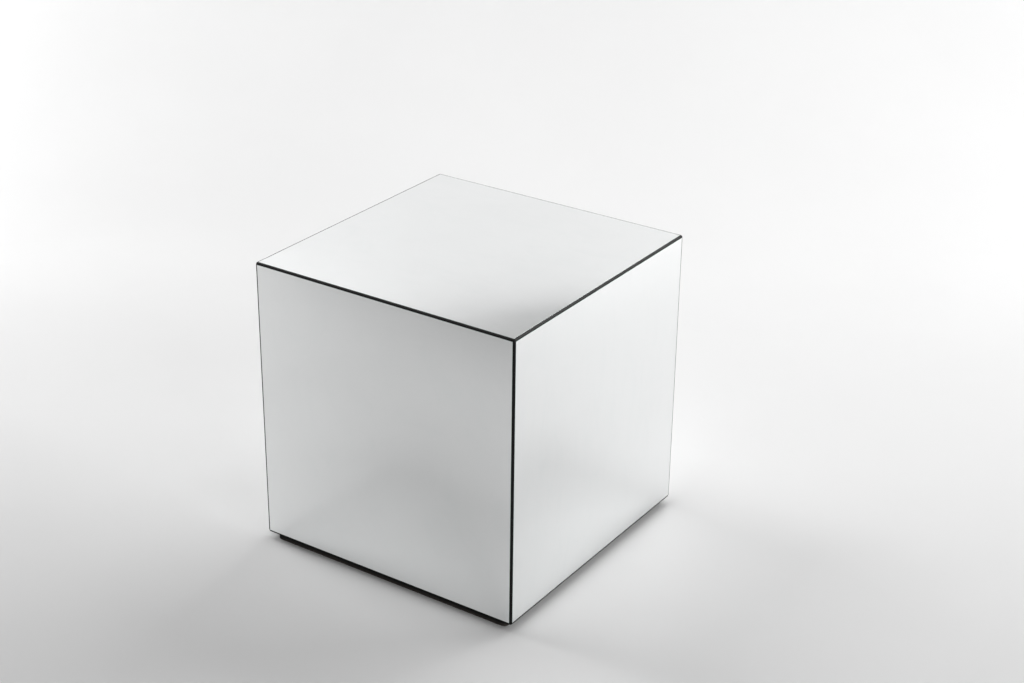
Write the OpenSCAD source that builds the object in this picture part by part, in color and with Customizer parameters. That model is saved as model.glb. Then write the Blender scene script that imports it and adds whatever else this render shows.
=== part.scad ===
// Mirror-clad cube side table.
// A fibreboard box is clad with five mirror panes, whose open corners are filled with
// rounded black sealant. It stands on a low felt-soled plinth, set back under a thin
// black base plate.
// The origin is on the floor under the middle of the cube, +Z is up and -Y is the front.

/* [Overall] */
// Width and depth over the mirror faces
cube_w = 400; // [360:10:440]
// Height from the floor to the face of the top mirror
cube_h = 409; // [369:10:449]

/* [Mirror panes] */
// Thickness of the mirror glass
glass_t = 3; // [3:0.5:4]
// Radius of the rounded black seam between two panes
seam_r = 2.9; // [1.8:0.1:2.9]
// Width of the ground arris around the face of a pane
arris = 0.3; // [0.2:0.1:0.5]
// Clearance between the mitred backs of two panes
mitre_gap = 0.1; // [0.05:0.05:0.2]

/* [Mirror fixing] */
// Thickness of the safety film on the back of a pane
film_t = 0.2; // [0.1:0.1:0.3]
// Margin from the edge of a pane's back to its film
film_margin = 4; // [2:1:8]
// Thickness of the double-sided mounting tape
tape_t = 0.8; // [0.6:0.1:1.2]
// Width of one strip of tape
tape_w = 19; // [12, 19, 25]
// Strips of tape behind each pane
tape_strips = 4; // [3:1:6]
// Margin from the edge of a pane's back to the tape
tape_margin = 20; // [12:2:30]

/* [Carcass] */
// Thickness of the fibreboard
board_t = 12; // [12:1:16]
// Side of a square corner post
post_w = 22; // [20:1:28]
// Diameter of a wooden dowel
dowel_d = 6; // [5, 6]
// Length of a wooden dowel
dowel_l = 24; // [20:2:30]
// Dowels along the top of the front and back boards
long_dowels = 4; // [3:1:6]
// Dowels along the top of the left and right boards
short_dowels = 3; // [2:1:5]

/* [Base] */
// Thickness of the black base plate
plate_t = 2; // [2:0.5:3]
// Setback of the base plate's rim from the mirror faces
plate_setback = 0.5; // [0.3:0.1:1]

/* [Plinth] */
// Thickness of a plinth rail
rail_t = 10; // [7:0.5:12]
// Width of a plinth rail
rail_w = 40; // [36:2:60]
// Setback of the plinth from the front and back faces
plinth_setback_front = 5; // [3:0.5:12]
// Setback of the plinth from the left and right faces
plinth_setback_side = 11; // [3:0.5:16]
// Radius of the plinth's four rounded corners
plinth_corner = 8; // [4:1:12]
// Screws along the front and back rails
long_screws = 4; // [3:1:5]
// Screws along the left and right rails
short_screws = 2; // [2:1:3]
// Thickness of the felt
felt_t = 1; // [1:0.5:3]
// Margin from the edge of a rail to its felt
felt_margin = 1; // [0.5:0.5:3]

/* [Hidden] */

$fn = 64;

// Turn about Z that carries the front face, or the front right corner, to each other one
FRONT = 0;
RIGHT = 90;
BACK = 180;
LEFT = 270;

// Corner radius of a strip that butts against its neighbours
SQUARE = 0;

// Levels and spans of the build
plate_low = felt_t + rail_t;
pane_low = plate_low + plate_t;
pane_span = cube_w - 2 * seam_r;
mitre = glass_t - seam_r + mitre_gap;
pane_back_span = pane_span - 2 * mitre;
side_pane_high = cube_h - seam_r;
board_depth = glass_t + film_t + tape_t;
carcass_w = cube_w - 2 * board_depth;
carcass_top = cube_h - board_depth;
side_board_high = carcass_top - board_t;
inner_w = carcass_w - 2 * board_t;
floor_top = pane_low + board_t;

// Distance from a mirror face to the centre of a corner post
post_inset = board_depth + board_t + post_w / 2;

// Dowel joints between the top board and the side boards
glue_gap = 0.05;
dowel_chamfer = 0.6;
dowel_cover = 4;
dowel_hole_up = board_t - dowel_cover;
dowel_hole_down = dowel_l + 2 * glue_gap - dowel_hole_up;
dowel_end_margin = 45;

// Plinth rails: the front and back ones run the whole width, the others between them
plinth_w = cube_w - 2 * plinth_setback_side;
plinth_d = cube_w - 2 * plinth_setback_front;
short_rail_w = plinth_d - 2 * rail_w;

// Screws: [shank radius, length, head radius, head height, recess depth]
post_screw = [2, 45, 4, 2.4, 1.6];
rail_screw = [1.75, 19, 3.5, 2.1, 1.3];
screw_gap = 0.05;
screw_point = 4;
cross_slot = 1.1;
cross_share = 1.1;
rail_screw_margin = 45;

// Colours
SILVER = [0.84, 0.87, 0.88];
SEALANT = [0.05, 0.05, 0.05];
FILM = [0.55, 0.57, 0.6];
TAPE = [0.92, 0.92, 0.9];
FIBREBOARD = [0.66, 0.52, 0.37];
SOFTWOOD = [0.82, 0.68, 0.46];
BEECH = [0.78, 0.6, 0.42];
HARDBOARD = [0.08, 0.08, 0.08];
ZINC = [0.75, 0.76, 0.78];
PAINTED = [0.1, 0.1, 0.1];
FELT = [0.28, 0.28, 0.29];

// ---- Placing -------------------------------------------------------------------------

// Puts a piece drawn behind the plane y = 0 on one of the four sides
module on_side(turn) {
    rotate([0, 0, turn])
        translate([0, -cube_w / 2, 0])
            children();
}

// Puts a piece drawn behind the plane y = 0 under the top
module on_top() {
    translate([0, 0, cube_h])
        rotate([-90, 0, 0])
            children();
}

// Puts a piece at one corner, at the given distance in from both faces
module at_corner(turn, inset) {
    rotate([0, 0, turn])
        translate([cube_w / 2 - inset, inset - cube_w / 2, 0])
            children();
}

// Puts a piece at all four corners
module at_corners(inset) {
    for (turn = [FRONT, RIGHT, BACK, LEFT])
        at_corner(turn, inset)
            children();
}

// Evenly spaced place of item i of count, centred on zero
function spaced(i, count, span) = (i - (count - 1) / 2) * span / (count - 1);

// ---- Panes and their fixing ----------------------------------------------------------

// Section of a pane as [along, depth], with a front arris and a ground back at each end
function pane_section(low, high, back_low, back_high) = [
    [low + arris, 0],
    [low, arris],
    [low, glass_t - back_low],
    [low + back_low, glass_t],
    [high - back_high, glass_t],
    [high, glass_t - back_high],
    [high, arris],
    [high - arris, 0]
];

// A pane with its face on y = 0, from z = low to z = high
module pane(low, high, back_low) {
    across = pane_section(-pane_span / 2, pane_span / 2, mitre, mitre);
    upright = pane_section(low, high, back_low, mitre);
    color(SILVER)
        intersection() {
            translate([0, 0, low])
                linear_extrude(height = high - low)
                    polygon(across);
            rotate([90, 0, 90])
                linear_extrude(height = pane_span, center = true)
                    polygon([for (p = upright) [p[1], p[0]]]);
        }
}

module side_pane(turn) {
    on_side(turn)
        pane(pane_low, side_pane_high, arris);
}

// Safety film over the back of a pane that reaches from z = low to z = high
module film(low, high) {
    film_w = pane_back_span - 2 * film_margin;
    color(FILM)
        translate([-film_w / 2, glass_t, low + film_margin])
            cube([film_w, film_t, high - low - 2 * film_margin]);
}

module side_film(turn) {
    on_side(turn)
        film(pane_low, side_pane_high - mitre);
}

// Upright strips of mounting tape between the film and the board
module tape(low, high) {
    tape_span = pane_back_span - 2 * tape_margin - tape_w;
    color(TAPE)
        for (i = [0 : tape_strips - 1])
            translate([spaced(i, tape_strips, tape_span) - tape_w / 2, glass_t + film_t, low + tape_margin])
                cube([tape_w, tape_t, high - low - 2 * tape_margin]);
}

module side_tape(turn) {
    on_side(turn)
        tape(pane_low, side_pane_high - mitre);
}

module top_mirror() {
    on_top()
        pane(-pane_span / 2, pane_span / 2, mitre);
}

module front_mirror() {
    side_pane(FRONT);
}

module right_mirror() {
    side_pane(RIGHT);
}

module back_mirror() {
    side_pane(BACK);
}

module left_mirror() {
    side_pane(LEFT);
}

module top_mirror_film() {
    on_top()
        film(-pane_back_span / 2, pane_back_span / 2);
}

module front_mirror_film() {
    side_film(FRONT);
}

module right_mirror_film() {
    side_film(RIGHT);
}

module back_mirror_film() {
    side_film(BACK);
}

module left_mirror_film() {
    side_film(LEFT);
}

module top_mirror_tape() {
    on_top()
        tape(-pane_back_span / 2, pane_back_span / 2);
}

module front_mirror_tape() {
    side_tape(FRONT);
}

module right_mirror_tape() {
    side_tape(RIGHT);
}

module back_mirror_tape() {
    side_tape(BACK);
}

module left_mirror_tape() {
    side_tape(LEFT);
}

// ---- Black seams ---------------------------------------------------------------------

// Quarter-round seam along the top of one side
module top_seam(turn) {
    color(SEALANT)
        rotate([0, 0, turn])
            translate([0, seam_r - cube_w / 2, cube_h - seam_r])
                intersection() {
                    rotate([0, 90, 0])
                        cylinder(r = seam_r, h = pane_span, center = true);
                    translate([-pane_span / 2, -seam_r, 0])
                        cube([pane_span, seam_r, seam_r]);
                }
}

// Quarter-round seam up one corner, closed by an eighth of a ball at the top
module upright_seam(turn) {
    color(SEALANT)
        at_corner(turn, seam_r)
            intersection() {
                union() {
                    translate([0, 0, pane_low])
                        cylinder(r = seam_r, h = side_pane_high - pane_low);
                    translate([0, 0, side_pane_high])
                        sphere(r = seam_r);
                }
                translate([0, -seam_r, pane_low])
                    cube([seam_r, seam_r, cube_h - pane_low]);
            }
}

module top_front_seam() {
    top_seam(FRONT);
}

module top_right_seam() {
    top_seam(RIGHT);
}

module top_back_seam() {
    top_seam(BACK);
}

module top_left_seam() {
    top_seam(LEFT);
}

module front_right_seam() {
    upright_seam(FRONT);
}

module back_right_seam() {
    upright_seam(RIGHT);
}

module back_left_seam() {
    upright_seam(BACK);
}

module front_left_seam() {
    upright_seam(LEFT);
}

// ---- Screws and dowels ---------------------------------------------------------------

// Cross recess in a screw head whose face is at z = 0
module cross_recess(screw) {
    reach = screw[2] * cross_share;
    for (turn = [0, 90])
        rotate([0, 0, turn])
            translate([-reach / 2, -cross_slot / 2, -screw[4]])
                cube([reach, cross_slot, 2 * screw[4]]);
}

// Countersunk wood screw that points up from its face at z = 0
module countersunk_screw(screw) {
    difference() {
        rotate_extrude()
            polygon([
                [0, 0],
                [screw[2], 0],
                [screw[0], screw[3]],
                [screw[0], screw[1] - screw_point],
                [0, screw[1]]
            ]);
        cross_recess(screw);
    }
}

// Room for a countersunk screw, over the given length of its shank
module countersunk_hole(screw, shank) {
    rotate_extrude()
        polygon([
            [0, -screw_gap],
            [screw[2] + screw_gap, -screw_gap],
            [screw[0] + screw_gap, screw[3] + screw_gap],
            [screw[0] + screw_gap, shank],
            [0, shank]
        ]);
}

// Straight room for the shank of a screw
module shank_hole(screw, low, high) {
    translate([0, 0, low])
        cylinder(r = screw[0] + screw_gap, h = high - low);
}

// Puts a piece at each dowel along the top of one side board
module along_board(turn, count, width) {
    dowel_span = width - 2 * dowel_end_margin;
    rotate([0, 0, turn])
        for (i = [0 : count - 1])
            translate([spaced(i, count, dowel_span), (board_t - carcass_w) / 2, side_board_high])
                children();
}

module at_all_dowels() {
    for (turn = [FRONT, BACK])
        along_board(turn, long_dowels, carcass_w)
            children();
    for (turn = [RIGHT, LEFT])
        along_board(turn, short_dowels, inner_w)
            children();
}

// Blind hole for a dowel, through both boards of the joint
module dowel_hole() {
    translate([0, 0, -dowel_hole_down])
        cylinder(d = dowel_d, h = dowel_hole_down + dowel_hole_up);
}

module dowel() {
    dowel_r = dowel_d / 2 - glue_gap;
    translate([0, 0, glue_gap - dowel_hole_down])
        rotate_extrude()
            polygon([
                [0, 0],
                [dowel_r - dowel_chamfer, 0],
                [dowel_r, dowel_chamfer],
                [dowel_r, dowel_l - dowel_chamfer],
                [dowel_r - dowel_chamfer, dowel_l],
                [0, dowel_l]
            ]);
}

module board_dowels() {
    color(BEECH)
        at_all_dowels()
            dowel();
}

// ---- Carcass -------------------------------------------------------------------------

module side_board(turn, width, count) {
    color(FIBREBOARD)
        difference() {
            rotate([0, 0, turn])
                translate([-width / 2, -carcass_w / 2, pane_low])
                    cube([width, board_t, side_board_high - pane_low]);
            along_board(turn, count, width)
                dowel_hole();
        }
}

module top_board() {
    color(FIBREBOARD)
        difference() {
            translate([-carcass_w / 2, -carcass_w / 2, side_board_high])
                cube([carcass_w, carcass_w, board_t]);
            at_all_dowels()
                dowel_hole();
        }
}

module front_board() {
    side_board(FRONT, carcass_w, long_dowels);
}

module right_board() {
    side_board(RIGHT, inner_w, short_dowels);
}

module back_board() {
    side_board(BACK, carcass_w, long_dowels);
}

module left_board() {
    side_board(LEFT, inner_w, short_dowels);
}

module bottom_board() {
    color(FIBREBOARD)
        difference() {
            translate([-inner_w / 2, -inner_w / 2, pane_low])
                cube([inner_w, inner_w, board_t]);
            at_corners(post_inset)
                translate([0, 0, pane_low])
                    countersunk_hole(post_screw, 2 * board_t);
            at_plinth_screws()
                shank_hole(rail_screw, plate_low, felt_t + rail_screw[1]);
        }
}

module corner_post(turn) {
    color(SOFTWOOD)
        at_corner(turn, post_inset)
            difference() {
                translate([-post_w / 2, -post_w / 2, floor_top])
                    cube([post_w, post_w, side_board_high - floor_top]);
                shank_hole(post_screw, pane_low, pane_low + post_screw[1]);
            }
}

module front_right_post() {
    corner_post(FRONT);
}

module back_right_post() {
    corner_post(RIGHT);
}

module back_left_post() {
    corner_post(BACK);
}

module front_left_post() {
    corner_post(LEFT);
}

module post_screws() {
    color(ZINC)
        at_corners(post_inset)
            translate([0, 0, pane_low])
                countersunk_screw(post_screw);
}

// ---- Base plate and plinth -----------------------------------------------------------

// Plan of a strip that starts at y = 0 and reaches inwards, with its outer corners rounded
module strip_plan(width, deep, corner) {
    flat = width - 2 * corner;
    union() {
        translate([-width / 2, corner])
            square([width, deep - corner]);
        if (corner > SQUARE) {
            translate([-flat / 2, 0])
                square([flat, deep]);
            for (x = [-1, 1])
                translate([x * flat / 2, corner])
                    circle(r = corner);
        }
    }
}

// Square plate with corners as round as the seams above it
module base_plate() {
    plate_w = cube_w - 2 * plate_setback;
    color(HARDBOARD)
        difference() {
            translate([0, 0, plate_low])
                linear_extrude(height = plate_t)
                    for (turn = [FRONT, BACK])
                        rotate([0, 0, turn])
                            translate([0, -plate_w / 2])
                                strip_plan(plate_w, plate_w - seam_r, seam_r);
            at_plinth_screws()
                shank_hole(rail_screw, 0, pane_low + plate_t);
        }
}

// Puts a piece at each screw along one rail, whose middle is at the given distance out
module along_rail(turn, count, width, out) {
    screw_span = width - 2 * rail_screw_margin;
    rotate([0, 0, turn])
        for (i = [0 : count - 1])
            translate([spaced(i, count, screw_span), -out, felt_t])
                children();
}

module at_plinth_screws() {
    for (turn = [FRONT, BACK])
        along_rail(turn, long_screws, plinth_w, (plinth_d - rail_w) / 2)
            children();
    for (turn = [RIGHT, LEFT])
        along_rail(turn, short_screws, short_rail_w, (plinth_w - rail_w) / 2)
            children();
}

module plinth_rail(turn, width, out, corner, count) {
    color(PAINTED)
        difference() {
            rotate([0, 0, turn])
                translate([0, -out - rail_w / 2, felt_t])
                    linear_extrude(height = rail_t)
                        strip_plan(width, rail_w, corner);
            along_rail(turn, count, width, out)
                countersunk_hole(rail_screw, 2 * rail_t);
        }
}

module front_plinth_rail() {
    plinth_rail(FRONT, plinth_w, (plinth_d - rail_w) / 2, plinth_corner, long_screws);
}

module right_plinth_rail() {
    plinth_rail(RIGHT, short_rail_w, (plinth_w - rail_w) / 2, SQUARE, short_screws);
}

module back_plinth_rail() {
    plinth_rail(BACK, plinth_w, (plinth_d - rail_w) / 2, plinth_corner, long_screws);
}

module left_plinth_rail() {
    plinth_rail(LEFT, short_rail_w, (plinth_w - rail_w) / 2, SQUARE, short_screws);
}

module plinth_screws() {
    color(ZINC)
        at_plinth_screws()
            countersunk_screw(rail_screw);
}

// Felt under one rail, on the floor
module felt_strip(turn, width, out, corner) {
    color(FELT)
        rotate([0, 0, turn])
            translate([0, felt_margin - out - rail_w / 2, 0])
                linear_extrude(height = felt_t)
                    strip_plan(width - 2 * felt_margin, rail_w - 2 * felt_margin, corner);
}

module front_felt_strip() {
    felt_strip(FRONT, plinth_w, (plinth_d - rail_w) / 2, plinth_corner - felt_margin);
}

module right_felt_strip() {
    felt_strip(RIGHT, short_rail_w, (plinth_w - rail_w) / 2, SQUARE);
}

module back_felt_strip() {
    felt_strip(BACK, plinth_w, (plinth_d - rail_w) / 2, plinth_corner - felt_margin);
}

module left_felt_strip() {
    felt_strip(LEFT, short_rail_w, (plinth_w - rail_w) / 2, SQUARE);
}

// ---- Build ---------------------------------------------------------------------------

top_mirror();
front_mirror();
right_mirror();
back_mirror();
left_mirror();
top_mirror_film();
front_mirror_film();
right_mirror_film();
back_mirror_film();
left_mirror_film();
top_mirror_tape();
front_mirror_tape();
right_mirror_tape();
back_mirror_tape();
left_mirror_tape();
top_front_seam();
top_right_seam();
top_back_seam();
top_left_seam();
front_right_seam();
back_right_seam();
back_left_seam();
front_left_seam();
top_board();
front_board();
right_board();
back_board();
left_board();
bottom_board();
front_right_post();
back_right_post();
back_left_post();
front_left_post();
board_dowels();
post_screws();
base_plate();
plinth_screws();
front_plinth_rail();
right_plinth_rail();
back_plinth_rail();
left_plinth_rail();
front_felt_strip();
right_felt_strip();
back_felt_strip();
left_felt_strip();
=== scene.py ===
"""Finishes a mirror-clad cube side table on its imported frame, and sets it in a small pale studio.

Lengths are in metres. +Z is up, -Y is the front and the floor is at z = 0.
"""

import logging
import math
from dataclasses import dataclass
from enum import Enum
from typing import Callable, Iterable, Sequence, Union

import bmesh
import bpy
import numpy as np
from mathutils import Matrix, Vector, noise


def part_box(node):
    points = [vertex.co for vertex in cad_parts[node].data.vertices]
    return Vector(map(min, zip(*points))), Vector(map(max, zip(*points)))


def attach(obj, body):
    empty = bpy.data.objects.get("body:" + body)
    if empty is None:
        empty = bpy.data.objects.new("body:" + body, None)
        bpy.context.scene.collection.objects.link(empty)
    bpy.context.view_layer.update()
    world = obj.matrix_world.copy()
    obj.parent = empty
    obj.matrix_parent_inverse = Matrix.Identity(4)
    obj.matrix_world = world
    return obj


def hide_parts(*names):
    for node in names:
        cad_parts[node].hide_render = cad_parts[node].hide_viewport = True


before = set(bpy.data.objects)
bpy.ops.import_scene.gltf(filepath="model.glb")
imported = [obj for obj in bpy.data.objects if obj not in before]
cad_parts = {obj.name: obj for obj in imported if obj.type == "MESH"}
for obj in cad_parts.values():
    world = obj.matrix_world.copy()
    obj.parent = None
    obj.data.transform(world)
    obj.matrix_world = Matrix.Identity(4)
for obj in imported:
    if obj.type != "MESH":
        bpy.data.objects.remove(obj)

logging.basicConfig(level=logging.INFO, format="%(levelname)s %(message)s")
log = logging.getLogger("side_table")

MM = 0.001
BODY = "root"

Socket = bpy.types.NodeSocket
Value = Union[float, Sequence[float], Socket]
Colour = tuple[float, float, float]


class Side(Enum):
    """A face of the cube, as its outward normal."""

    TOP = (0, 0, 1)
    FRONT = (0, -1, 0)
    RIGHT = (1, 0, 0)
    BACK = (0, 1, 0)
    LEFT = (-1, 0, 0)
    BOTTOM = (0, 0, -1)

    @property
    def word(self) -> str:
        """The side's name as the frame's nodes spell it."""
        return self.name.lower()

    @property
    def outward(self) -> Vector:
        """The outward normal."""
        return Vector(self.value)

    @property
    def thin_axis(self) -> int:
        """Index of the axis a sheet on this side is thin along."""
        return [abs(c) for c in self.value].index(1)


class Corner(Enum):
    """An upright edge of the cube, as its place in plan."""

    FRONT_RIGHT = (1, -1)
    BACK_RIGHT = (1, 1)
    BACK_LEFT = (-1, 1)
    FRONT_LEFT = (-1, -1)

    @property
    def word(self) -> str:
        """The corner's name as the frame's nodes spell it."""
        return self.name.lower()


CLAD_SIDES = (Side.TOP, Side.FRONT, Side.RIGHT, Side.BACK, Side.LEFT)
UPRIGHT_SIDES = (Side.FRONT, Side.RIGHT, Side.BACK, Side.LEFT)


# ---- Node graphs -----------------------------------------------------------------------


class Graph:
    """A material's nodes. Each call adds one node and returns its output."""

    def __init__(self, name: str) -> None:
        """Starts a material with one Principled shader.

        Args:
            name: The material's name.
        """
        self.material = bpy.data.materials.new(name)
        self.material.use_nodes = True
        self.tree = self.material.node_tree
        self.tree.nodes.clear()
        output = self.tree.nodes.new("ShaderNodeOutputMaterial")
        self.shader = self.tree.nodes.new("ShaderNodeBsdfPrincipled")
        self.tree.links.new(self.shader.outputs["BSDF"], output.inputs["Surface"])
        self.place = self.tree.nodes.new("ShaderNodeTexCoord").outputs["Object"]

    def _fill(self, socket: Socket, value: Value) -> None:
        """Links a socket to an output, or gives it a constant."""
        if isinstance(value, Socket):
            self.tree.links.new(value, socket)
        elif socket.type == "RGBA" and len(value) == 3:
            socket.default_value = (*value, 1.0)
        else:
            socket.default_value = value

    def _node(self, kind: str, inputs: dict, **settings: object) -> bpy.types.Node:
        """Adds a node.

        Args:
            kind: The node's type name, without its ShaderNode prefix.
            inputs: Socket name or index to value.
            settings: Properties of the node.

        Returns:
            The new node.
        """
        node = self.tree.nodes.new("ShaderNode" + kind)
        for key, value in settings.items():
            setattr(node, key, value)
        for key, value in inputs.items():
            self._fill(node.inputs[key], value)
        return node

    def shade(self, **values: Value) -> None:
        """Sets the shader's sockets. An underscore in a name stands for a space.

        Args:
            values: Socket name to value.
        """
        for name, value in values.items():
            self._fill(self.shader.inputs[name.replace("_", " ")], value)

    def mapped(self, scale: Sequence[float], turn: Sequence[float] = (0, 0, 0)) -> Socket:
        """Object coordinates, scaled and turned.

        Args:
            scale: Scale along each axis.
            turn: Rotation about each axis, in radians.

        Returns:
            The mapped vector.
        """
        return self._node("Mapping", {"Vector": self.place, "Scale": scale, "Rotation": turn}).outputs[0]

    def grain(
        self, scale: float, detail: float = 4, rough: float = 0.55, warp: float = 0, at: Socket | None = None
    ) -> Socket:
        """Fractal noise from 0 to 1.

        Args:
            scale: Features per metre.
            detail: Octaves.
            rough: Weight of the finer octaves.
            warp: How far the noise bends itself.
            at: Vector to read it at, instead of object coordinates.

        Returns:
            The noise value.
        """
        inputs = {"Vector": at or self.place, "Scale": scale, "Detail": detail}
        inputs |= {"Roughness": rough, "Distortion": warp}
        return self._node("TexNoise", inputs).outputs[0]

    def cells(self, scale: float) -> Socket:
        """Distance from the middles of random cells.

        Args:
            scale: Cells per metre.

        Returns:
            The distance, in cells.
        """
        inputs = {"Vector": self.place, "Scale": scale}
        return self._node("TexVoronoi", inputs, feature="F1").outputs["Distance"]

    def sum(self, operation: str, a: Value, b: Value = 0.0) -> Socket:
        """One step of arithmetic, such as ADD or MULTIPLY."""
        return self._node("Math", {0: a, 1: b}, operation=operation).outputs[0]

    def spread(self, value: Socket, low: float, high: float, to_low: float = 0, to_high: float = 1) -> Socket:
        """Maps low..high of a value smoothly onto to_low..to_high, and clamps it.

        Args:
            value: What is mapped.
            low: Input that gives to_low.
            high: Input that gives to_high.
            to_low: Lowest output.
            to_high: Highest output.

        Returns:
            The mapped value.
        """
        inputs = {"Value": value, "From Min": low, "From Max": high, "To Min": to_low, "To Max": to_high}
        return self._node("MapRange", inputs, interpolation_type="SMOOTHSTEP").outputs[0]

    def blend(self, amount: Value, a: Value, b: Value) -> Socket:
        """Mixes two colours.

        Args:
            amount: 0 for a, 1 for b.
            a: First colour.
            b: Second colour.

        Returns:
            The mixed colour.
        """
        node = self.tree.nodes.new("ShaderNodeMix")
        node.data_type = "RGBA"
        self._fill(node.inputs[0], amount)
        self._fill(node.inputs[6], a)
        self._fill(node.inputs[7], b)
        return node.outputs[2]

    def parts(self, vector: Socket) -> list[Socket]:
        """The x, y and z of a vector."""
        return list(self._node("SeparateXYZ", {0: vector}).outputs)

    def facing(self, axis: int) -> Socket:
        """How squarely the surface faces along an axis, from 0 to 1."""
        normal = self._node("NewGeometry", {}).outputs["Normal"]
        return self.sum("ABSOLUTE", self.parts(normal)[axis])

    def relief(
        self, height: Socket, depth: float, strength: float = 1.0, under: Socket | None = None
    ) -> Socket:
        """A bump normal.

        Args:
            height: Height from 0 to 1.
            depth: Real depth of that range.
            strength: Weight of the bump.
            under: A bump this one lies on.

        Returns:
            The bumped normal.
        """
        inputs = {"Height": height, "Distance": depth, "Strength": strength}
        if under is not None:
            inputs["Normal"] = under
        return self._node("Bump", inputs).outputs[0]


# ---- Finishes --------------------------------------------------------------------------


@dataclass(frozen=True)
class Finish:
    """A surface finish. Each kind draws its own node graph."""

    name: str
    slot: str

    def draw(self, g: Graph) -> None:
        """Adds this finish's nodes to a graph."""
        raise NotImplementedError

    def material(self) -> bpy.types.Material:
        """The finish's material, made the first time it is asked for."""
        title = f"{self.name}_finish"
        made = bpy.data.materials.get(title)
        if made is None:
            graph = Graph(title)
            self.draw(graph)
            made = graph.material
        return made


@dataclass(frozen=True)
class SilveredFace(Finish):
    """Polished glass with silver close behind it, wiped clean but for a few specks."""

    tint: Colour = (0.942, 0.953, 0.953)
    dulled: Colour = (0.922, 0.938, 0.938)
    speck_pitch: float = 55 * MM

    def draw(self, g: Graph) -> None:
        """A clear reflection with faint wiping streaks, a float-line wave and sparse dust."""
        wipe = g.grain(14, 5, 0.6, 1.2, g.mapped((1, 2.2, 0.7), (0.3, 0.5, 0.2)))
        haze = g.spread(wipe, 0.45, 0.8)
        dust_and_floor_light = g.spread(g.cells(1 / self.speck_pitch), 0.004, 0.009, 1, 0)
        smear = g.spread(haze, 0, 1, 0.006, 0.02)
        g.shade(
            Base_Color=g.blend(haze, self.tint, self.dulled),
            Metallic=1.0,
            Roughness=g.sum("MAXIMUM", smear, g.sum("MULTIPLY", dust_and_floor_light, 0.35)),
            Normal=g.relief(g.grain(3.5, 1, 0.4), 0.05 * MM, 0.3),
        )


@dataclass(frozen=True)
class GroundGlass(Finish):
    """The ground and seamed edge of a sheet of glass, green from its own depth."""

    deep: Colour = (0.33, 0.52, 0.46)
    pale: Colour = (0.62, 0.76, 0.71)

    def draw(self, g: Graph) -> None:
        """Fine grinding lines over a green that varies along the edge."""
        lines = g.grain(900, 3, 0.6, 0, g.mapped((1, 1, 1)))
        cloud = g.grain(60, 4)
        g.shade(
            Base_Color=g.blend(g.spread(cloud, 0.3, 0.7), self.deep, self.pale),
            Roughness=g.spread(lines, 0.3, 0.7, 0.16, 0.34),
            IOR=1.52,
            Coat_Weight=0.4,
            Coat_Roughness=0.08,
            Normal=g.relief(lines, 0.02 * MM, 0.5),
        )


@dataclass(frozen=True)
class BackPaint(Finish):
    """Protective paint over the silver on the back of a mirror."""

    grey: Colour = (0.30, 0.34, 0.33)
    light: Colour = (0.37, 0.41, 0.40)

    def draw(self, g: Graph) -> None:
        """Curtain-coated paint with long soft bands and a fine peel."""
        bands = g.grain(9, 4, 0.5, 0.4, g.mapped((1, 1, 8)))
        peel = g.grain(420, 3)
        g.shade(
            Base_Color=g.blend(g.spread(bands, 0.35, 0.7), self.grey, self.light),
            Roughness=g.spread(peel, 0.3, 0.7, 0.42, 0.58),
            Normal=g.relief(peel, 0.03 * MM, 0.5),
        )


@dataclass(frozen=True)
class Sealant(Finish):
    """Black sealant, tooled smooth."""

    black: Colour = (0.001, 0.001, 0.0011)
    dust_and_floor_light_tone: Colour = (0.005, 0.005, 0.0052)

    def draw(self, g: Graph) -> None:
        """A soft sheen with faint tooling ripples and a little dust."""
        ripple = g.grain(160, 3, 0.5)
        fine = g.grain(1400, 2)
        dust_and_floor_light = g.spread(g.grain(2600, 2), 0.62, 0.78)
        g.shade(
            Base_Color=g.blend(dust_and_floor_light, self.black, self.dust_and_floor_light_tone),
            Roughness=g.spread(ripple, 0.3, 0.7, 0.30, 0.44),
            Specular_IOR_Level=0.15,
            Normal=g.relief(fine, 0.006 * MM, 0.4, g.relief(ripple, 0.05 * MM, 0.35)),
        )


@dataclass(frozen=True)
class WovenFilm(Finish):
    """Safety film with a woven backing, glued over the back of a mirror."""

    thin: int = 1
    weft: Colour = (0.50, 0.52, 0.55)
    warp: Colour = (0.63, 0.65, 0.68)
    thread: float = 2.4 * MM

    def draw(self, g: Graph) -> None:
        """Crossed threads over a plain film."""
        pitch = 2 * math.pi / self.thread
        along = [axis for i, axis in enumerate(g.parts(g.place)) if i != self.thin]
        waves = [g.sum("SINE", g.sum("MULTIPLY", axis, pitch)) for axis in along]
        weave = g.sum("MAXIMUM", waves[0], waves[1])
        raised = g.spread(weave, 0.5, 1.0)
        cloud = g.grain(25, 4)
        ground = g.blend(g.spread(cloud, 0.3, 0.7), self.weft, tuple(0.9 * c for c in self.weft))
        g.shade(
            Base_Color=g.blend(raised, ground, self.warp),
            Roughness=g.spread(cloud, 0.3, 0.7, 0.38, 0.55),
            Normal=g.relief(raised, 0.08 * MM, 0.6),
        )


@dataclass(frozen=True)
class FoamTape(Finish):
    """White closed-cell foam tape."""

    white: Colour = (0.88, 0.88, 0.85)
    # Painted shade: the grey that darkens the open pores, deepest at their middles.
    pore_shade: Colour = (0.70, 0.70, 0.67)

    def draw(self, g: Graph) -> None:
        """Open pores where the foam is cut, darkened inside with painted shade."""
        pores = g.cells(2600)
        pits = g.spread(pores, 0.12, 0.42)
        g.shade(
            Base_Color=g.blend(pits, self.pore_shade, self.white),
            Roughness=g.spread(pits, 0, 1, 0.9, 0.72),
            Normal=g.relief(pits, 0.12 * MM, 0.7),
        )


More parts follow.
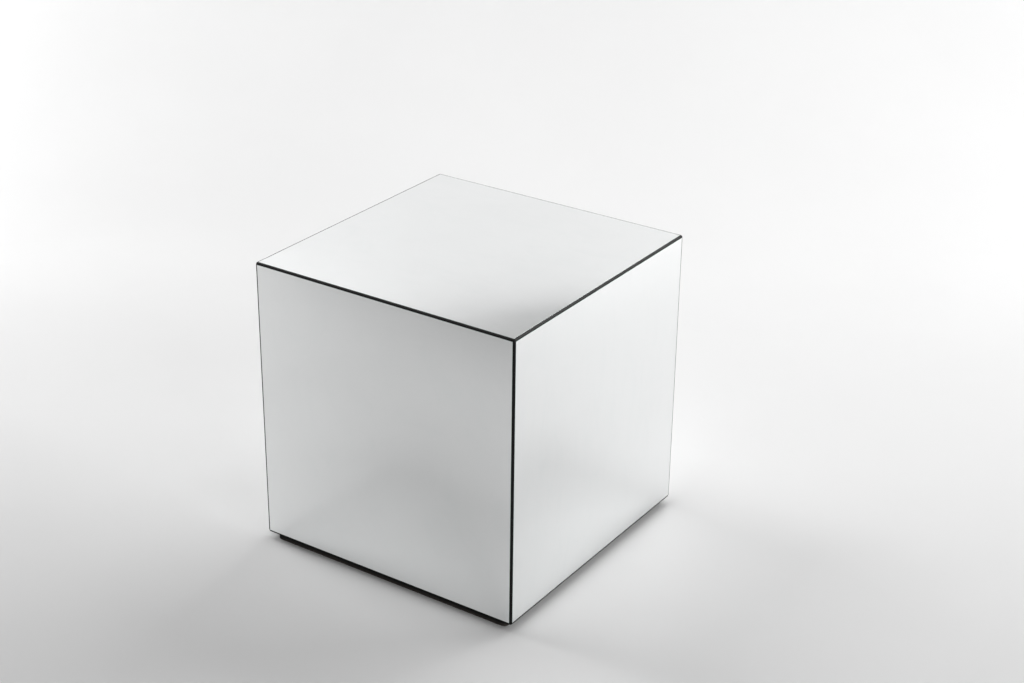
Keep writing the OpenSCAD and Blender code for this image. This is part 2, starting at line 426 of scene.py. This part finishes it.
@dataclass(frozen=True)
class Fibreboard(Finish):
    """Raw fibreboard: smooth pressed faces and fuzzier, darker sawn edges."""

    thin: int = 2
    face: Colour = (0.52, 0.37, 0.235)
    face_light: Colour = (0.60, 0.445, 0.295)
    edge: Colour = (0.40, 0.265, 0.155)

    def draw(self, g: Graph) -> None:
        """Felted fibres on the faces, and layers with saw fuzz on the edges."""
        fibres = g.grain(520, 6, 0.65, 1.6)
        cloud = g.grain(18, 4)
        layers = [1.0, 1.0, 1.0]
        layers[self.thin] = 9.0
        saw = g.grain(210, 5, 0.6, 0.3, g.mapped(layers))
        tone = g.blend(g.spread(fibres, 0.35, 0.68), self.face, self.face_light)
        tone = g.blend(g.spread(cloud, 0.35, 0.7, 0, 0.25), tone, self.edge)
        sawn = g.blend(g.spread(saw, 0.35, 0.65), self.edge, self.face)
        on_edge = g.spread(g.facing(self.thin), 0.4, 0.8, 1, 0)
        rough = g.sum("ADD", g.spread(fibres, 0.3, 0.7, 0.62, 0.74), g.sum("MULTIPLY", on_edge, 0.14))
        height = g.sum("ADD", fibres, g.sum("MULTIPLY", saw, g.sum("MULTIPLY", on_edge, 2.5)))
        g.shade(
            Base_Color=g.blend(on_edge, tone, sawn),
            Roughness=rough,
            Normal=g.relief(height, 0.08 * MM, 0.6),
        )


@dataclass(frozen=True)
class Timber(Finish):
    """Planed timber whose rings run through the solid, so its ends show end grain."""

    early: Colour = (0.68, 0.49, 0.28)
    late: Colour = (0.46, 0.28, 0.13)
    ring: float = 2.6 * MM
    flecks: float = 0.15

    def draw(self, g: Graph) -> None:
        """Growth rings about a distant pith, with pores stretched along the grain."""
        bend = g.grain(3, 3, 0.5, 0.6, g.mapped((1, 1, 0.25)))
        x, y, _ = g.parts(g.place)
        across = g.sum("ADD", g.sum("MULTIPLY", x, 0.8), g.sum("MULTIPLY", y, 0.6))
        along_ring = g.sum("ADD", across, g.sum("MULTIPLY", bend, 0.03))
        rings = g.sum("SINE", g.sum("MULTIPLY", along_ring, 2 * math.pi / self.ring))
        pores = g.grain(900, 4, 0.6, 0.2, g.mapped((1, 1, 0.035)))
        dark = g.sum("ADD", g.spread(rings, -0.2, 1.0, 0, 0.75), g.spread(pores, 0.5, 0.8, 0, self.flecks))
        g.shade(
            Base_Color=g.blend(dark, self.early, self.late),
            Roughness=g.spread(pores, 0.3, 0.7, 0.48, 0.66),
            Normal=g.relief(pores, 0.06 * MM, 0.5),
        )


@dataclass(frozen=True)
class ZincPlate(Finish):
    """Bright zinc plate on a small steel screw."""

    zinc: Colour = (0.70, 0.71, 0.73)
    yellowed: Colour = (0.66, 0.64, 0.56)

    def draw(self, g: Graph) -> None:
        """Crystalline plating with a faint passivation colour."""
        spangle = g.cells(1700)
        cloud = g.grain(220, 4)
        g.shade(
            Base_Color=g.blend(g.spread(cloud, 0.4, 0.75), self.zinc, self.yellowed),
            Metallic=1.0,
            Roughness=g.spread(spangle, 0.1, 0.7, 0.22, 0.38),
            Normal=g.relief(cloud, 0.02 * MM, 0.5),
        )


@dataclass(frozen=True)
class BlackHardboard(Finish):
    """Thin hardboard, black through, with a pressed face."""

    black: Colour = (0.001, 0.001, 0.0011)
    fibre: Colour = (0.005, 0.0048, 0.0045)

    def draw(self, g: Graph) -> None:
        """Pressed fibres just visible in the black."""
        fibres = g.grain(700, 5, 0.65, 1.4)
        g.shade(
            Base_Color=g.blend(g.spread(fibres, 0.45, 0.75), self.black, self.fibre),
            Roughness=g.spread(fibres, 0.3, 0.7, 0.46, 0.62),
            Specular_IOR_Level=0.1,
            Normal=g.relief(fibres, 0.04 * MM, 0.5),
        )


@dataclass(frozen=True)
class BlackPaint(Finish):
    """Satin black paint sprayed on fibreboard, with painted light that lightens it towards the floor."""

    black: Colour = (0.002, 0.002, 0.0021)
    # Painted light: greys that stand in for light from the floor on the lowest part of the plinth face.
    dust_and_floor_light_tone: Colour = (0.052, 0.047, 0.042)
    lowest_floor_light_tone: Colour = (0.075, 0.069, 0.062)
    floor_light_from: float = 1 * MM
    floor_light_to: float = 8 * MM
    lowest_floor_light_to: float = 3 * MM

    def draw(self, g: Graph) -> None:
        """Orange peel, with painted floor light that grows downwards in a noisy haze and is strongest in the
        lowest few millimetres.
        """
        peel = g.grain(650, 2, 0.4)
        lowest_light_breakup = g.spread(g.grain(240, 5, 0.6), 0.52, 0.74)
        haze = g.spread(g.grain(90, 4), 0.3, 0.7, 0.7, 1.0)
        height = g.parts(g.place)[2]
        # Painted floor light: the paint is lighter from a few millimetres up down to the floor, and lightest
        # in the lowest few millimetres.
        dust_and_floor_light = g.sum("MULTIPLY", haze, g.spread(height, self.floor_light_from, self.floor_light_to, 1, 0))
        lowest_floor_light = g.sum("MULTIPLY", lowest_light_breakup, g.spread(height, self.floor_light_from, self.lowest_floor_light_to, 1, 0))
        g.shade(
            Base_Color=g.blend(lowest_floor_light, g.blend(dust_and_floor_light, self.black, self.dust_and_floor_light_tone), self.lowest_floor_light_tone),
            Roughness=g.spread(dust_and_floor_light, 0, 1, 0.46, 0.7),
            Specular_IOR_Level=0.05,
            Normal=g.relief(peel, 0.04 * MM, 0.5),
        )


@dataclass(frozen=True)
class PressedFelt(Finish):
    """Dark grey pressed felt."""

    dark: Colour = (0.045, 0.045, 0.048)
    light: Colour = (0.15, 0.15, 0.155)

    def draw(self, g: Graph) -> None:
        """Matted fibres in two greys."""
        one = g.grain(900, 5, 0.7, 2.0, g.mapped((1, 0.25, 1), (0, 0, 0.6)))
        two = g.grain(900, 5, 0.7, 2.0, g.mapped((0.25, 1, 1), (0, 0, -0.4)))
        fibres = g.sum("MAXIMUM", one, two)
        g.shade(
            Base_Color=g.blend(g.spread(fibres, 0.45, 0.8), self.dark, self.light),
            Roughness=0.95,
            Sheen_Weight=0.35,
            Sheen_Roughness=0.5,
            Normal=g.relief(fibres, 0.2 * MM, 0.8),
        )


@dataclass(frozen=True)
class StudioPaper(Finish):
    """Seamless white paper for the studio sweep."""

    white: Colour = (0.80, 0.80, 0.80)
    soft: Colour = (0.79, 0.79, 0.79)

    def draw(self, g: Graph) -> None:
        """Very faint mottling in matt paper."""
        cloud = g.grain(2.5, 3)
        g.shade(
            Base_Color=g.blend(g.spread(cloud, 0.35, 0.65), self.white, self.soft),
            Roughness=0.95,
            Specular_IOR_Level=0.1,
        )


MIRROR_FACE = SilveredFace("silvered_face", "mirror_glass")
GLASS_EDGE = GroundGlass("ground_glass_edge", "mirror_glass")
MIRROR_BACK = BackPaint("mirror_back_paint", "mirror_glass")
SEALANT = Sealant("black_sealant", "black_sealant")
TAPE = FoamTape("foam_tape", "mounting_tape")
SOFTWOOD = Timber("softwood", "softwood")
BEECH = Timber("beech", "beech", (0.58, 0.38, 0.22), (0.47, 0.28, 0.15), 1.4 * MM, 0.5)
ZINC = ZincPlate("zinc_plate", "zinc_steel")
HARDBOARD = BlackHardboard("black_hardboard", "black_hardboard")
PLINTH_PAINT = BlackPaint("satin_black_paint", "black_paint")
FELT = PressedFelt("pressed_felt", "felt")
PAPER = StudioPaper("studio_paper", "")


# ---- Making and dressing pieces --------------------------------------------------------


def node_object(node: str) -> bpy.types.Object:
    """The frame's own object for a node."""
    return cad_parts[node]


def dress(node: str, finish: Finish) -> None:
    """Gives a node that keeps its own mesh a finish.

    Args:
        node: The node's name.
        finish: What covers it.
    """
    materials = node_object(node).data.materials
    materials.clear()
    materials.append(finish.material())
    log.info("dressed %s in %s", node, finish.name)


def make_piece(
    name: str, shape: bmesh.types.BMesh, finishes: Sequence[Finish], stands_for: str, smooth: float = 40
) -> bpy.types.Object:
    """Turns a finished shape into a piece that stands for one node and rides on the body.

    Args:
        name: The piece's name.
        shape: Its geometry, which is freed.
        finishes: Its material slots in order.
        stands_for: The node it replaces.
        smooth: Faces that meet at less than this angle, in degrees, are shaded as one.

    Returns:
        The new object.
    """
    mesh = bpy.data.meshes.new(name)
    for edge in shape.edges:
        edge.smooth = edge.is_manifold and edge.calc_face_angle(0) < math.radians(smooth)
    for face in shape.faces:
        face.smooth = True
    shape.to_mesh(mesh)
    shape.free()
    for finish in finishes:
        mesh.materials.append(finish.material())
    piece = bpy.data.objects.new(name, mesh)
    bpy.context.scene.collection.objects.link(piece)
    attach(piece, BODY)
    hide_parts(stands_for)
    log.info("built %s: %d faces, for %s", name, len(mesh.polygons), stands_for)
    return piece


def welded(node: str) -> bmesh.types.BMesh:
    """A node's own shape with its split points joined and its flat facets merged.

    Args:
        node: The node's name.

    Returns:
        A new shape, for the caller to free.
    """
    shape = bmesh.new()
    shape.from_mesh(node_object(node).data)
    bmesh.ops.remove_doubles(shape, verts=shape.verts, dist=0.001 * MM)
    bmesh.ops.dissolve_limit(shape, angle_limit=math.radians(0.5), verts=shape.verts, edges=shape.edges)
    bmesh.ops.recalc_face_normals(shape, faces=shape.faces)
    return shape


@dataclass(frozen=True)
class Span:
    """A box by its lowest and highest corners."""

    low: Vector
    high: Vector

    @property
    def middle(self) -> Vector:
        """The centre."""
        return (self.low + self.high) / 2

    @property
    def size(self) -> Vector:
        """The extent along each axis."""
        return self.high - self.low


def span(node: str) -> Span:
    """The box of a whole node."""
    low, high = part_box(node)
    return Span(Vector(low), Vector(high))


def solids(node: str) -> list[Span]:
    """The boxes of the separate solids in a node.

    Args:
        node: The node's name.

    Returns:
        One box for each solid, in the order of the mesh's points.
    """
    shape = welded(node)
    seen: set[bmesh.types.BMVert] = set()
    boxes = []
    for start in shape.verts:
        if start in seen:
            continue
        seen.add(start)
        found = [start]
        for vert in found:
            for edge in vert.link_edges:
                other = edge.other_vert(vert)
                if other not in seen:
                    seen.add(other)
                    found.append(other)
        places = np.array([v.co for v in found])
        boxes.append(Span(Vector(places.min(0)), Vector(places.max(0))))
    shape.free()
    return boxes


def rings_to_shape(
    shape: bmesh.types.BMesh, rings: Sequence[Sequence[Vector]], first: bool = True, last: bool = True
) -> list[list[bmesh.types.BMVert]]:
    """Adds a tube of quads through rings of equal length.

    Args:
        shape: What the faces are added to.
        rings: Points of each ring, in order along the tube.
        first: Whether a flat face closes its start.
        last: Whether a flat face closes its end.

    Returns:
        The new points, ring by ring.
    """
    grid = [[shape.verts.new(p) for p in ring] for ring in rings]
    count = len(grid[0])
    for low, high in zip(grid, grid[1:]):
        for i in range(count):
            j = (i + 1) % count
            shape.faces.new((low[i], low[j], high[j], high[i]))
    if first:
        shape.faces.new(list(reversed(grid[0])))
    if last:
        shape.faces.new(grid[-1])
    return grid


def around(count: int) -> list[tuple[float, float]]:
    """Cosine and sine of evenly spaced turns."""
    return [(math.cos(t), math.sin(t)) for t in (2 * math.pi * i / count for i in range(count))]


def wander(place: Vector, scale: float, seed: float) -> float:
    """Smooth noise from -1 to 1 at a place.

    Args:
        place: Where to read it.
        scale: Features per metre.
        seed: Picks a different field.

    Returns:
        The noise value.
    """
    return noise.noise(place * scale + Vector((seed, 2 * seed, 3 * seed)))


# ---- Sub-assemblies --------------------------------------------------------------------


@dataclass
class MirrorCladding:
    """Five mirror panes, each with safety film and mounting tape behind it."""

    arris_round: float = 0.07 * MM
    arris_steps: int = 2
    sharp_from: float = math.radians(20)
    face_square: float = 0.95

    def build(self) -> None:
        """Makes every pane and dresses what is behind it."""
        for side in CLAD_SIDES:
            self._pane(side)
            film = WovenFilm(f"woven_film_{'xyz'[side.thin_axis]}", "safety_film", side.thin_axis)
            dress(f"{side.word}_mirror_film", film)
            dress(f"{side.word}_mirror_tape", TAPE)

    def _pane(self, side: Side) -> None:
        """Makes one pane with a silvered face, ground edges and a painted back.

        Args:
            side: The side it covers.
        """
        node = f"{side.word}_mirror"
        shape = welded(node)
        sharp = [e for e in shape.edges if e.is_manifold and e.calc_face_angle(0) > self.sharp_from]
        bmesh.ops.bevel(
            shape,
            geom=sharp,
            offset=self.arris_round,
            segments=self.arris_steps,
            profile=0.5,
            affect="EDGES",
            clamp_overlap=True,
        )
        for face in shape.faces:
            out = face.normal.dot(side.outward)
            face.material_index = 0 if out > self.face_square else 2 if out < -self.face_square else 1
        make_piece(f"{side.word}_pane", shape, (MIRROR_FACE, GLASS_EDGE, MIRROR_BACK), node, 25)


@dataclass
class SeamSet:
    """Rounded black seams along the open edges of the cube."""

    arc_steps: int = 14
    station: float = 2.5 * MM
    ripple: float = 0.05 * MM
    ripple_scale: float = 38.0

    def build(self) -> None:
        """Makes the four top seams and the four upright ones."""
        for side in UPRIGHT_SIDES:
            self._top_seam(side)
        for corner in Corner:
            self._upright_seam(corner)

    def _arc(self) -> list[tuple[float, float]]:
        """Cosine and sine over a quarter turn."""
        turns = [math.pi / 2 * i / self.arc_steps for i in range(self.arc_steps + 1)]
        return [(math.cos(t), math.sin(t)) for t in turns]

    def _radius(self, place: Vector, full: float, fade: float) -> float:
        """The tooled radius at a place, never more than the full one.

        Args:
            place: Where on the seam.
            full: The seam's own radius.
            fade: 0 at an end, where the radius is full, to 1.

        Returns:
            The radius there.
        """
        dip = 0.5 + 0.5 * wander(place, self.ripple_scale, 4.2)
        return full - self.ripple * max(0.0, min(1.0, dip)) * fade

    def _sweep(
        self, root: Vector, along: Vector, first: Vector, second: Vector, length: float, full: float
    ) -> list[list[Vector]]:
        """Sections of a quarter-round seam from one end to the other.

        Args:
            root: The inner corner line's start.
            along: Direction of the seam.
            first: Direction of the section's first leg.
            second: Direction of its second leg.
            length: The seam's length.
            full: Its radius.

        Returns:
            The rings of points.
        """
        count = max(2, round(length / self.station))
        rings = []
        for i in range(count + 1):
            centre = root + along * (length * i / count)
            fade = min(1.0, i / 3, (count - i) / 3)
            ring = [centre]
            for c, s in self._arc():
                edge = 4 * c * s
                radius = self._radius(centre + first * s * 3 * MM, full, fade * min(1.0, edge))
                ring.append(centre + (first * c + second * s) * radius)
            rings.append(ring)
        return rings

    def _top_seam(self, side: Side) -> None:
        """Makes the seam along the top of one side.

        Args:
            side: The side it crowns.
        """
        node = f"top_{side.word}_seam"
        box = span(node)
        full = box.size.z
        along = Vector((0, 0, 1)).cross(side.outward)
        length = abs(box.size.dot(along))
        root = box.middle - along * (length / 2) - side.outward * (full / 2) - Vector((0, 0, full / 2))
        shape = bmesh.new()
        rings_to_shape(shape, self._sweep(root, along, side.outward, Vector((0, 0, 1)), length, full))
        bmesh.ops.recalc_face_normals(shape, faces=shape.faces)
        make_piece(f"{node}_bead", shape, (SEALANT,), node, 50)

    def _upright_seam(self, corner: Corner) -> None:
        """Makes the seam up one corner, with its rounded top.

        Args:
            corner: The corner it closes.
        """
        node = f"{corner.word}_seam"
        box = span(node)
        full = box.size.x
        x, y = corner.value
        out_x, out_y, up = Vector((x, 0, 0)), Vector((0, y, 0)), Vector((0, 0, 1))
        root = Vector((box.middle.x - x * full / 2, box.middle.y - y * full / 2, box.low.z))
        rings = self._sweep(root, up, out_x, out_y, box.size.z - full, full)
        crown = rings[-1][0]
        for c, s in self._arc()[1:-1]:
            dome = [crown + (out_x * a + out_y * b) * (full * c) + up * (full * s) for a, b in self._arc()]
            rings.append([crown + up * (full * s)] + dome)
        shape = bmesh.new()
        grid = rings_to_shape(shape, rings, last=False)
        tip = shape.verts.new(crown + up * full)
        for here, following in zip(grid[-1], grid[-1][1:] + grid[-1][:1]):
            shape.faces.new((here, following, tip))
        bmesh.ops.recalc_face_normals(shape, faces=shape.faces)
        make_piece(f"{node}_bead", shape, (SEALANT,), node, 50)


@dataclass
class Carcass:
    """The fibreboard box with its corner posts and fluted dowels."""

    flutes: int = 18
    flute_depth: float = 0.22 * MM
    points: int = 6
    chamfer: float = 0.6 * MM

    def build(self) -> None:
        """Dresses the boards and posts, and makes the dowels."""
        for side in Side:
            board = Fibreboard(f"fibreboard_{'xyz'[side.thin_axis]}", "fibreboard", side.thin_axis)
            dress(f"{side.word}_board", board)
        for corner in Corner:
            dress(f"{corner.word}_post", SOFTWOOD)
        self._dowels()

    def _dowels(self) -> None:
        """Makes the fluted dowels."""
        shape = bmesh.new()
        for box in solids("board_dowels"):
            rings_to_shape(shape, self._fluted(box))
        bmesh.ops.recalc_face_normals(shape, faces=shape.faces)
        make_piece("fluted_dowels", shape, (BEECH,), "board_dowels", 50)

    def _fluted(self, box: Span) -> list[list[Vector]]:
        """Sections of one dowel.

        Args:
            box: The room it fills.

        Returns:
            The rings of points.
        """
        radius = box.size.x / 2
        count = self.flutes * self.points
        stations = [
            (box.low.z, radius - self.chamfer, 0.0),
            (box.low.z + self.chamfer, radius, 1.0),
            (box.high.z - self.chamfer, radius, 1.0),
            (box.high.z, radius - self.chamfer, 0.0),
        ]
        rings = []
        for height, full, depth in stations:
            ring = []
            for i, (c, s) in enumerate(around(count)):
                groove = max(0.0, math.cos(2 * math.pi * (i % self.points) / self.points)) * depth
                r = full - self.flute_depth * groove
                ring.append(Vector((box.middle.x + r * c, box.middle.y + r * s, height)))
            rings.append(ring)
        return rings


@dataclass(frozen=True)
class ScrewKind:
    """Sizes of a countersunk cross-head wood screw."""

    head_height: float
    shank: float
    core: float
    pitch: float
    neck: float
    point: float
    slot: float
    recess: float


@dataclass
class Fasteners:
    """Countersunk screws with cut threads and cross recesses, heads down."""

    post: ScrewKind = ScrewKind(
        head_height=2.4 * MM,
        shank=2 * MM,
        core=1.3 * MM,
        pitch=1.8 * MM,
        neck=12 * MM,
        point=4 * MM,
        slot=1.1 * MM,
        recess=1.6 * MM,
    )
    plinth: ScrewKind = ScrewKind(
        head_height=2.1 * MM,
        shank=1.75 * MM,
        core=1.15 * MM,
        pitch=1.4 * MM,
        neck=4 * MM,
        point=4 * MM,
        slot=1.1 * MM,
        recess=1.3 * MM,
    )
    sides: int = 32
    per_turn: int = 8
    lip: float = 0.25 * MM
    tip: float = 0.08 * MM
    tip_length: float = 0.2 * MM
    cross_reach: float = 0.55
    cross_narrowing: float = 0.7

    def build(self) -> None:
        """Makes the post screws and the plinth screws."""
        for node, kind in (("post_screws", self.post), ("plinth_screws", self.plinth)):
            shape = bmesh.new()
            for box in solids(node):
                self._screw(shape, box, kind)
            bmesh.ops.recalc_face_normals(shape, faces=shape.faces)
            make_piece(f"threaded_{node}", shape, (ZINC,), node, 35)

    def _screw(self, shape: bmesh.types.BMesh, box: Span, kind: ScrewKind) -> None:
        """Adds one screw.

        Args:
            shape: What it is added to.
            box: The room it fills, with its head at the bottom.
            kind: Its sizes.
        """
        x, y, z = box.middle.x, box.middle.y, box.low.z
        head = box.size.x / 2
        length = box.size.z

        def ring(height: float, radius: Callable[[float], float]) -> list[Vector]:
            """Points of one ring, whose radius depends on the turn."""
            return [
                Vector((x + radius(i / self.sides) * c, y + radius(i / self.sides) * s, z + height))
                for i, (c, s) in enumerate(around(self.sides))
            ]

        rings = [ring(0, lambda _: head), ring(self.lip, lambda _: head)]
        rings.append(ring(kind.head_height, lambda _: kind.shank))
        rings.append(ring(kind.neck, lambda _: kind.shank))
        end = length - self.tip_length
        step = kind.pitch / self.per_turn
        height = kind.neck + step
        while height < end:
            rings.append(ring(height, lambda turn: self._thread(kind, length, height, turn)))
            height += step
        rings.append(ring(length, lambda _: self.tip))
        grid = rings_to_shape(shape, rings, first=False)
        self._cross(shape, grid[0], Vector((x, y, z)), head, kind)

    def _thread(self, kind: ScrewKind, length: float, height: float, turn: float) -> float:
        """Radius of the sharp thread at a height and a turn.

        Args:
            kind: The screw's sizes.
            length: The screw's whole length.
            height: Height above the bottom of the head.
            turn: Part of a turn round the screw, from 0 to 1.

        Returns:
            The radius.
        """
        taper = min(1.0, (length - height) / kind.point)
        deep = min(1.0, (height - kind.neck) / kind.pitch)
        phase = (height / kind.pitch - turn) % 1.0
        crest = max(0.0, 1 - 4 * abs(phase - 0.5))
        cut = (kind.shank - kind.core) * deep
        return (kind.shank - cut * (1 - crest)) * taper

    def _cross(
        self,
        shape: bmesh.types.BMesh,
        rim: list[bmesh.types.BMVert],
        middle: Vector,
        head: float,
        kind: ScrewKind,
    ) -> None:
        """Closes a head with a face that has a tapered cross recess in it.

        Args:
            shape: What it is added to.
            rim: Points round the head.
            middle: The head's centre.
            head: The head's radius.
            kind: The screw's sizes.
        """
        half, reach, narrow = kind.slot / 2, head * self.cross_reach, self.cross_narrowing
        arm = [(reach, half), (half, half), (half, reach)]
        outline = []
        for _ in range(4):
            outline += arm
            arm = [(-v, u) for u, v in arm]
        upper = [shape.verts.new(middle + Vector((u, v, 0))) for u, v in outline]
        lower = [shape.verts.new(middle + Vector((u * narrow, v * narrow, kind.recess))) for u, v in outline]
        count = len(outline)
        edges = [shape.edges.new((upper[i], upper[(i + 1) % count])) for i in range(count)]
        edges += [shape.edges.get((rim[i], rim[(i + 1) % len(rim)])) for i in range(len(rim))]
        bmesh.ops.triangle_fill(shape, edges=edges, use_beauty=True)
        for i in range(count):
            j = (i + 1) % count
            shape.faces.new((upper[i], upper[j], lower[j], lower[i]))
        shape.faces.new(lower)


@dataclass
class Base:
    """The black base plate, the painted plinth rails and the felt under them."""

    fuzz: float = 0.18 * MM
    cell: float = 2.0 * MM
    layers: int = 2

    def build(self) -> None:
        """Dresses the plate and rails, and makes the felt."""
        dress("base_plate", HARDBOARD)
        for side in UPRIGHT_SIDES:
            dress(f"{side.word}_plinth_rail", PLINTH_PAINT)
            self._felt(side)

    def _felt(self, side: Side) -> None:
        """Makes a felt strip with a slightly ragged cut edge.

        Args:
            side: The side its rail is on.
        """
        node = f"{side.word}_felt_strip"
        room = welded(node)
        sole = min(room.faces, key=lambda face: (round(face.calc_center_median().z, 6), -face.calc_area()))
        outline = [vert.co.copy() for vert in sole.verts]
        room.free()
        thick = span(node).size.z
        shape = bmesh.new()
        rings = [self._cut(outline, Vector((0, 0, thick * k / self.layers))) for k in range(self.layers + 1)]
        rings_to_shape(shape, rings)
        bmesh.ops.recalc_face_normals(shape, faces=shape.faces)
        make_piece(f"{node}_cut", shape, (FELT,), node, 60)

    def _cut(self, outline: Sequence[Vector], rise: Vector) -> list[Vector]:
        """The felt's outline at one height, each point drawn in a little by the cut.

        Args:
            outline: Corners of the sole, clockwise as seen from above.
            rise: How far this ring lies above the sole.

        Returns:
            The ring's points.
        """
        ring = []
        for start, end in zip(outline, [*outline[1:], outline[0]]):
            steps = max(1, round((end - start).length / self.cell))
            inward = (end - start).normalized().cross(Vector((0, 0, 1)))
            for i in range(steps):
                place = start.lerp(end, i / steps) + rise
                depth = self.fuzz * (0.5 + 0.5 * wander(place, 330.0, 7.5))
                ring.append(place + inward * max(0.0, min(self.fuzz, depth)))
        return ring


# ---- Studio ----------------------------------------------------------------------------


@dataclass(frozen=True)
class SoftBox:
    """A soft light, placed in the camera's own plan: right, away and up from the table."""

    name: str
    right: float
    away: float
    up: float
    width: float
    height: float
    power: float
    aim: tuple[float, float, float] = (0.0, 0.0, 0.15)


@dataclass
class Studio:
    """A paper sweep, soft lights and the camera."""

    heading: float = math.radians(33.79)
    eye: tuple[float, float, float] = (1.31754, -1.87592, 1.36682)
    look: tuple[float, float, float] = (0.04304, 0.02880, 0.27527)
    roll: float = math.radians(0.73)
    lens: float = 67.0
    sensor: float = 36.0
    nearest: float = 0.05
    farthest: float = 100.0
    near: float = -6.0
    cove_start: float = 0.9
    cove_radius: float = 1.6
    wall_top: float = 4.5
    half_width: float = 6.0
    cove_steps: int = 32
    surround: float = 0.82
    boxes: tuple[SoftBox, ...] = (
        SoftBox("key_light", 2.58, 0.94, 1.37, 1.6, 1.6, 35.5),
        SoftBox("front_fill", 1.46, -2.52, 0.88, 1.6, 1.2, 42.0),
        SoftBox("left_fill", -2.52, 1.46, 0.88, 1.6, 1.2, 39.0),
        SoftBox("overhead_light", 1.24, 1.48, 2.45, 1.6, 1.6, 30.5),
        SoftBox("wall_light", -1.8, 1.0, 3.0, 1.6, 0.8, 44.5, aim=(-1.5, 2.4, 1.0)),
    )

    def build(self) -> None:
        """Makes the sweep, the lights, the world and the camera."""
        self._tone()
        self._sweep()
        self._world()
        for box in self.boxes:
            self._light(box)
        self._camera()

    def _tone(self) -> None:
        """Shows plain tones, with no film curve."""
        bpy.context.scene.view_settings.view_transform = "Standard"

    def _plan(self, right: float, away: float, up: float) -> Vector:
        """A place given in the camera's own plan.

        Args:
            right: Distance to the camera's right of the table's middle.
            away: Distance beyond it.
            up: Height above the floor.

        Returns:
            The place in the row frame.
        """
        c, s = math.cos(self.heading), math.sin(self.heading)
        return Vector((right * c - away * s, right * s + away * c, up))

    def _sweep(self) -> None:
        """Makes the floor that curves up into a wall."""
        profile = [(self.near, 0.0), (self.cove_start, 0.0)]
        for i in range(1, self.cove_steps + 1):
            turn = math.pi / 2 * i / self.cove_steps
            profile.append(
                (self.cove_start + self.cove_radius * math.sin(turn), self.cove_radius * (1 - math.cos(turn)))
            )
        profile.append((self.cove_start + self.cove_radius, self.wall_top))
        shape = bmesh.new()
        rows = [
            [shape.verts.new(self._plan(side * self.half_width, away, up)) for side in (-1, 1)]
            for away, up in profile
        ]
        for low, high in zip(rows, rows[1:]):
            shape.faces.new((low[0], low[1], high[1], high[0]))
        mesh = bpy.data.meshes.new("studio_sweep")
        for face in shape.faces:
            face.smooth = True
        shape.to_mesh(mesh)
        shape.free()
        mesh.materials.append(PAPER.material())
        sweep = bpy.data.objects.new("studio_sweep", mesh)
        bpy.context.scene.collection.objects.link(sweep)
        log.info("built studio_sweep")

    def _world(self) -> None:
        """Surrounds the studio with a pale room that mirrors show and that sheds no light of its own."""
        world = bpy.data.worlds.new("studio_fill")
        world.use_nodes = True
        background = world.node_tree.nodes["Background"]
        background.inputs["Color"].default_value = (1.0, 1.0, 1.0, 1.0)
        background.inputs["Strength"].default_value = self.surround
        world.cycles_visibility.diffuse = False
        bpy.context.scene.world = world

    def _light(self, box: SoftBox) -> None:
        """Hangs one soft light and aims it.

        Args:
            box: Its place, size and power.
        """
        data = bpy.data.lights.new(box.name, "AREA")
        data.shape = "RECTANGLE"
        data.size = box.width
        data.size_y = box.height
        data.energy = box.power
        light = bpy.data.objects.new(box.name, data)
        place = self._plan(box.right, box.away, box.up)
        light.location = place
        light.rotation_euler = (self._plan(*box.aim) - place).to_track_quat("-Z", "Y").to_euler()
        bpy.context.scene.collection.objects.link(light)
        log.info("hung %s", box.name)

    def _camera(self) -> None:
        """Sets the camera on the table."""
        data = bpy.data.cameras.new("studio_camera")
        data.sensor_fit = "HORIZONTAL"
        data.sensor_width = self.sensor
        data.lens = self.lens
        data.clip_start = self.nearest
        data.clip_end = self.farthest
        camera = bpy.data.objects.new("studio_camera", data)
        eye, look = Vector(self.eye), Vector(self.look)
        level = (look - eye).to_track_quat("-Z", "Y").to_matrix()
        camera.matrix_world = Matrix.Translation(eye) @ (level @ Matrix.Rotation(self.roll, 3, "Z")).to_4x4()
        bpy.context.scene.collection.objects.link(camera)
        bpy.context.scene.camera = camera
        log.info("set the camera")


# ---- Whole table -----------------------------------------------------------------------


def main() -> None:
    """Builds every sub-assembly, then the studio."""
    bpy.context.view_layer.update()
    assemblies = (MirrorCladding(), SeamSet(), Carcass(), Fasteners(), Base())
    for assembly in assemblies:
        assembly.build()
    Studio().build()
    log.info("done")


if __name__ == "__main__":
    main()
